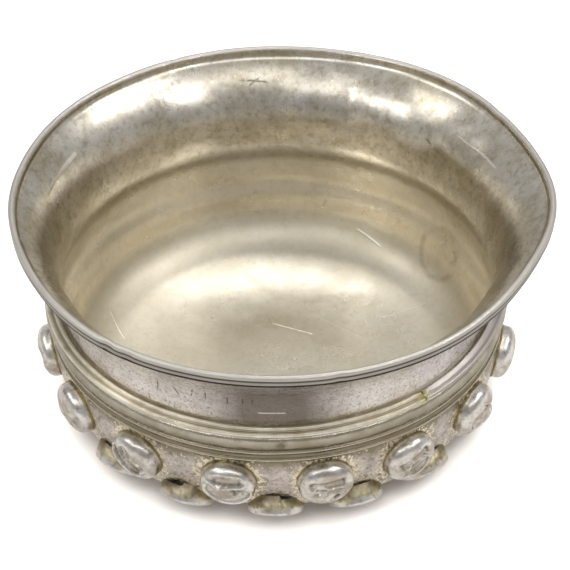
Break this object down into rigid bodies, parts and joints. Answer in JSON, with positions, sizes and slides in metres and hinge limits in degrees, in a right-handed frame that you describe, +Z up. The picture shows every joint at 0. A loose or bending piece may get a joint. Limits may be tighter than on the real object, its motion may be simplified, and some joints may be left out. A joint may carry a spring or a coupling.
{
  "type": "silver bowl",
  "caption": "Ancient hammered silver bowl with a flared lip, hollow neck, ridged shoulder and staggered rows of domed sheet bosses soldered round its belly.",
  "frame": {"origin": "centre of the flat underside that the bowl rests on", "axes": "+Z up along the bowl's axis, -Y towards the front, where an upper boss stands to each side of a lower one"},
  "size_m": [0.16, 0.16, 0.07],
  "materials": {
    "body_silver": "hammered and worn silver, tarnished, with traces of gilding",
    "moulding_silver": "drawn silver strip, worn, with pale tarnish in its groove",
    "boss_silver": "thin silver sheet, rubbed bright, dented, with traces of gilding round its edge"
  },
  "bodies": {
    "root": {"bowl_body": "body_silver", "shoulder_moulding": "moulding_silver", "upper_boss_01": "boss_silver", "upper_boss_02": "boss_silver", "upper_boss_03": "boss_silver", "upper_boss_04": "boss_silver", "upper_boss_05": "boss_silver", "upper_boss_06": "boss_silver", "upper_boss_07": "boss_silver", "upper_boss_08": "boss_silver", "upper_boss_09": "boss_silver", "upper_boss_10": "boss_silver", "upper_boss_11": "boss_silver", "upper_boss_12": "boss_silver", "upper_boss_13": "boss_silver", "upper_boss_14": "boss_silver", "upper_boss_15": "boss_silver", "upper_boss_16": "boss_silver", "lower_boss_01": "boss_silver", "lower_boss_02": "boss_silver", "lower_boss_03": "boss_silver", "lower_boss_04": "boss_silver", "lower_boss_05": "boss_silver", "lower_boss_06": "boss_silver", "lower_boss_07": "boss_silver", "lower_boss_08": "boss_silver", "lower_boss_09": "boss_silver", "lower_boss_10": "boss_silver", "lower_boss_11": "boss_silver", "lower_boss_12": "boss_silver", "lower_boss_13": "boss_silver", "lower_boss_14": "boss_silver", "lower_boss_15": "boss_silver", "lower_boss_16": "boss_silver"}
  },
  "joints": []
}
